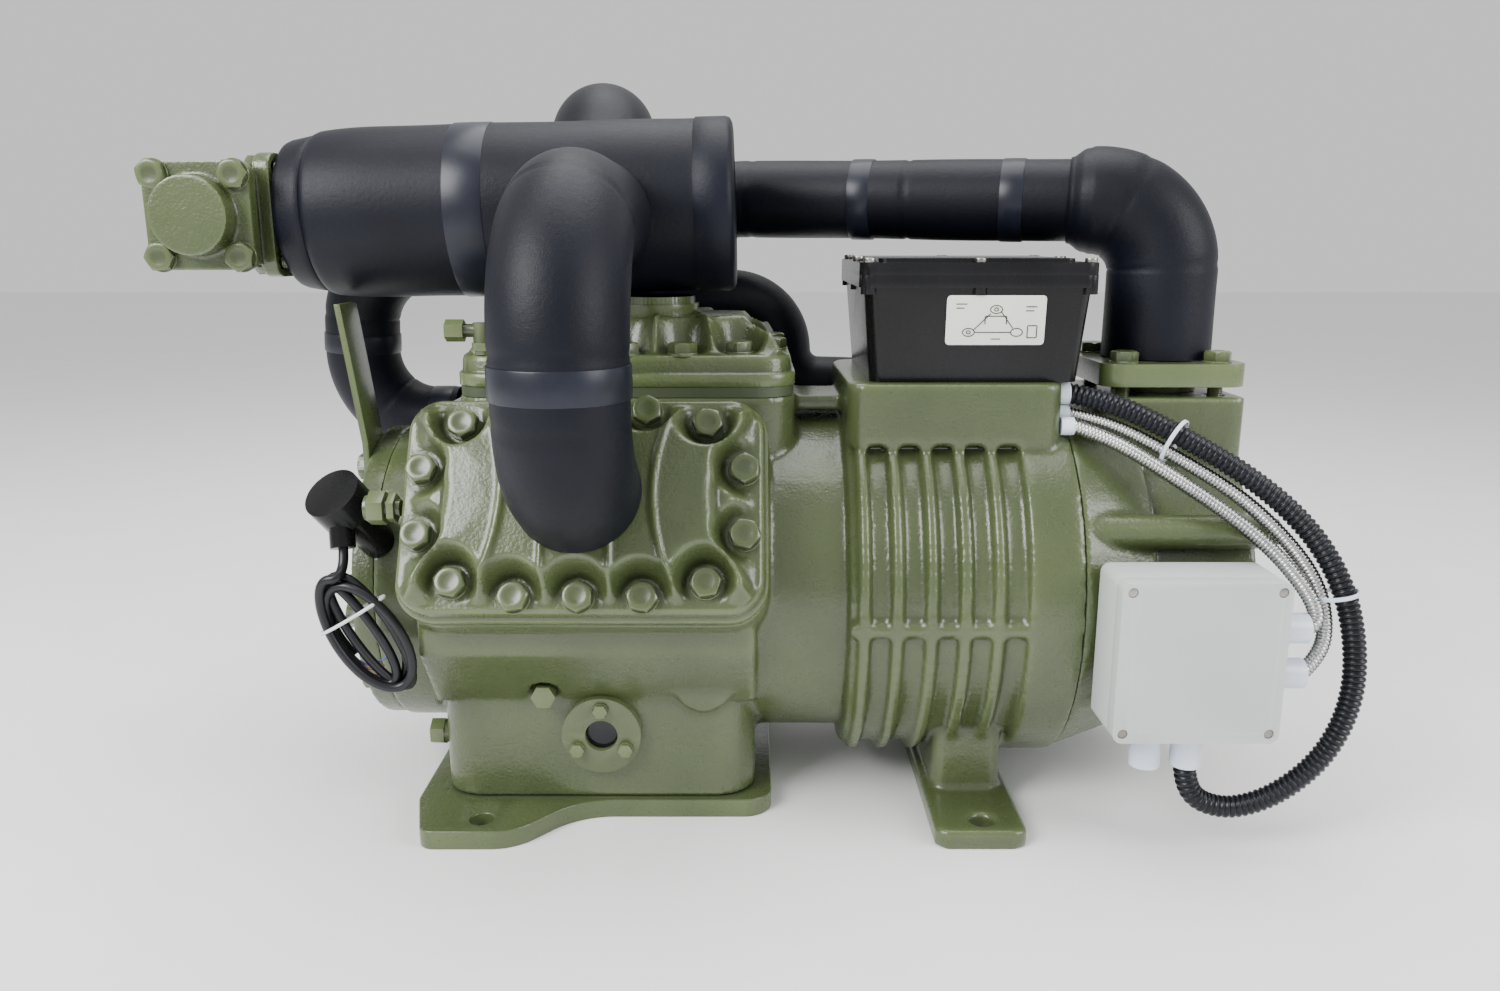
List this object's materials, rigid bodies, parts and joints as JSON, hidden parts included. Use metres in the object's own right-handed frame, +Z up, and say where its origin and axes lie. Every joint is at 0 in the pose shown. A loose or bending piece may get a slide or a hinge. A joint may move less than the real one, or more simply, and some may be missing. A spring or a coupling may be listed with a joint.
{
  "type": "semi-hermetic reciprocating compressor",
  "caption": "Bolted semi-hermetic reciprocating refrigeration compressor: W-banked crankcase and finned motor housing in one casting, foam-sleeved suction header and pipework.",
  "frame": {"origin": "centre of the four foundation holes, on the underside of the feet", "axes": "+Z up, +X along the shaft towards the motor, +Y away from the sight glass side"},
  "size_m": [0.8983, 0.5692, 0.5779],
  "materials": {
    "bearing_bronze": "bearing bronze",
    "bright_screw": "bright zinc-plated screws",
    "cable_jacket": "black cable jacket",
    "casting_paint": "semi-gloss olive green machine enamel over cast iron",
    "conduit_black": "black corrugated plastic conduit",
    "conduit_metal": "interlocked galvanised steel conduit",
    "fastener_paint": "the same enamel over steel fasteners and fittings",
    "foam_sleeve": "matt closed-cell elastomer foam",
    "gasket_dark": "painted steel plate with dark gasket edges",
    "gland_plastic": "white moulded plastic",
    "glass": "thick sight glass, dark oil behind it",
    "grey_plastic": "pale grey moulded plastic",
    "label": "off-white film label with plain line figures",
    "light_alloy": "machined aluminium alloy",
    "motor_steel": "laminated steel",
    "pipe_steel": "painted steel pipe, hidden in the foam",
    "shaft_steel": "ground steel",
    "switch_plastic": "black moulded plastic on a dull brass socket",
    "tape": "satin black insulation tape",
    "terminal_plastic": "moulded black plastic, semi-gloss",
    "tie_plastic": "white nylon ties",
    "winding": "varnished copper windings"
  },
  "bodies": {
    "compressor": {"bearing_cover": "casting_paint", "black_conduit": "conduit_black", "bottom_gasket": "gasket_dark", "bottom_plate": "casting_paint", "box_screws": "bright_screw", "cable_hank": "cable_jacket", "cable_ties": "tie_plastic", "cover_bolts": "fastener_paint", "fittings": "fastener_paint", "flange_bolts": "fastener_paint", "front_elbow_foam": "foam_sleeve", "front_head": "casting_paint", "glands": "gland_plastic", "head_bolts": "fastener_paint", "header_bracket": "casting_paint", "header_foam": "foam_sleeve", "housing": "casting_paint", "junction_box": "grey_plastic", "junction_lid": "grey_plastic", "level_switch": "switch_plastic", "main_bearings": "bearing_bronze", "metal_conduit_lower": "conduit_metal", "metal_conduit_upper": "conduit_metal", "mixing_foam": "foam_sleeve", "mixing_pipe": "pipe_steel", "motor_cover": "casting_paint", "motor_flange": "casting_paint", "oil_pump": "casting_paint", "rear_elbow_foam": "foam_sleeve", "rear_head": "casting_paint", "sight_glass": "glass", "sight_glass_ring": "casting_paint", "stator": "motor_steel", "suction_header": "pipe_steel", "switch_cable": "cable_jacket", "tape_bands": "tape", "terminal_box": "terminal_plastic", "terminal_label": "label", "terminal_lid": "terminal_plastic", "top_head": "casting_paint", "valve_body": "casting_paint", "valve_bonnet": "casting_paint", "valve_plates": "gasket_dark", "windings": "winding"},
    "crank": {"crankshaft": "shaft_steel", "rotor": "motor_steel"},
    "rod_1": {"con_rod_1": "light_alloy"},
    "piston_1": {"piston_1": "light_alloy"},
    "rod_2": {"con_rod_2": "light_alloy"},
    "piston_2": {"piston_2": "light_alloy"},
    "rod_3": {"con_rod_3": "light_alloy"},
    "piston_3": {"piston_3": "light_alloy"},
    "rod_4": {"con_rod_4": "light_alloy"},
    "piston_4": {"piston_4": "light_alloy"},
    "rod_5": {"con_rod_5": "light_alloy"},
    "piston_5": {"piston_5": "light_alloy"},
    "rod_6": {"con_rod_6": "light_alloy"},
    "piston_6": {"piston_6": "light_alloy"},
    "spindle": {"valve_spindle": "shaft_steel"}
  },
  "joints": [
    {"name": "crank_turn", "type": "hinge", "parent": "compressor", "child": "crank", "pos_m": [0, 0, 0.17], "axis": [1, 0, 0], "range_deg": [-12, 12]},
    {"name": "rod_1_swing", "type": "hinge", "parent": "crank", "child": "rod_1", "pos_m": [-0.159, -0.01577, 0.19253], "axis": [1, 0, 0], "range_deg": [-15.04, 15.04]},
    {"name": "piston_1_slide", "type": "slide", "parent": "compressor", "child": "piston_1", "axis": [0, -0.866, 0.5], "range_m": [-0.00311, 0.00311]},
    {"name": "rod_2_swing", "type": "hinge", "parent": "crank", "child": "rod_2", "pos_m": [-0.137, -0.01577, 0.19253], "axis": [1, 0, 0], "range_deg": [-14.78, 14.78]},
    {"name": "piston_2_slide", "type": "slide", "parent": "compressor", "child": "piston_2", "axis": [0, 0, 1], "range_m": [-0.00411, 0.00411]},
    {"name": "rod_3_swing", "type": "hinge", "parent": "crank", "child": "rod_3", "pos_m": [-0.181, -0.01577, 0.19253], "axis": [1, 0, 0], "range_deg": [-11.92, 11.92]},
    {"name": "piston_3_slide", "type": "slide", "parent": "compressor", "child": "piston_3", "axis": [0, 0.866, 0.5], "range_m": [-0.0057, 0.0057]},
    {"name": "rod_4_swing", "type": "hinge", "parent": "crank", "child": "rod_4", "pos_m": [-0.049, 0.01577, 0.14747], "axis": [1, 0, 0], "range_deg": [-9.36, 9.36]},
    {"name": "piston_4_slide", "type": "slide", "parent": "compressor", "child": "piston_4", "axis": [0, -0.866, 0.5], "range_m": [-0.00196, 0.00196]},
    {"name": "rod_5_swing", "type": "hinge", "parent": "crank", "child": "rod_5", "pos_m": [-0.027, 0.01577, 0.14747], "axis": [1, 0, 0], "range_deg": [-9.62, 9.62]},
    {"name": "piston_5_slide", "type": "slide", "parent": "compressor", "child": "piston_5", "axis": [0, 0, 1], "range_m": [-0.00269, 0.00269]},
    {"name": "rod_6_swing", "type": "hinge", "parent": "crank", "child": "rod_6", "pos_m": [-0.071, 0.01577, 0.14747], "axis": [1, 0, 0], "range_deg": [-12.48, 12.48]},
    {"name": "piston_6_slide", "type": "slide", "parent": "compressor", "child": "piston_6", "axis": [0, 0.866, 0.5], "range_m": [-0.00597, 0.00597]},
    {"name": "valve_spindle_travel", "type": "slide", "parent": "compressor", "child": "spindle", "axis": [0, 1, 0], "range_m": [0, 0.018]}
  ],
  "couplings": [
    {"joint": "rod_1_swing", "follows": "crank_turn", "ratio": -1.2366},
    {"joint": "piston_1_slide", "follows": "crank_turn", "m_per_rad": 0.014371},
    {"joint": "rod_2_swing", "follows": "crank_turn", "ratio": -1.2149},
    {"joint": "piston_2_slide", "follows": "crank_turn", "m_per_rad": -0.019163},
    {"joint": "rod_3_swing", "follows": "crank_turn", "ratio": -0.97659},
    {"joint": "piston_3_slide", "follows": "crank_turn", "m_per_rad": -0.026754},
    {"joint": "rod_4_swing", "follows": "crank_turn", "ratio": -0.76345},
    {"joint": "piston_4_slide", "follows": "crank_turn", "m_per_rad": -0.008873},
    {"joint": "rod_5_swing", "follows": "crank_turn", "ratio": -0.78509},
    {"joint": "piston_5_slide", "follows": "crank_turn", "m_per_rad": 0.012384},
    {"joint": "rod_6_swing", "follows": "crank_turn", "ratio": -1.0234},
    {"joint": "piston_6_slide", "follows": "crank_turn", "m_per_rad": 0.028037}
  ]
}
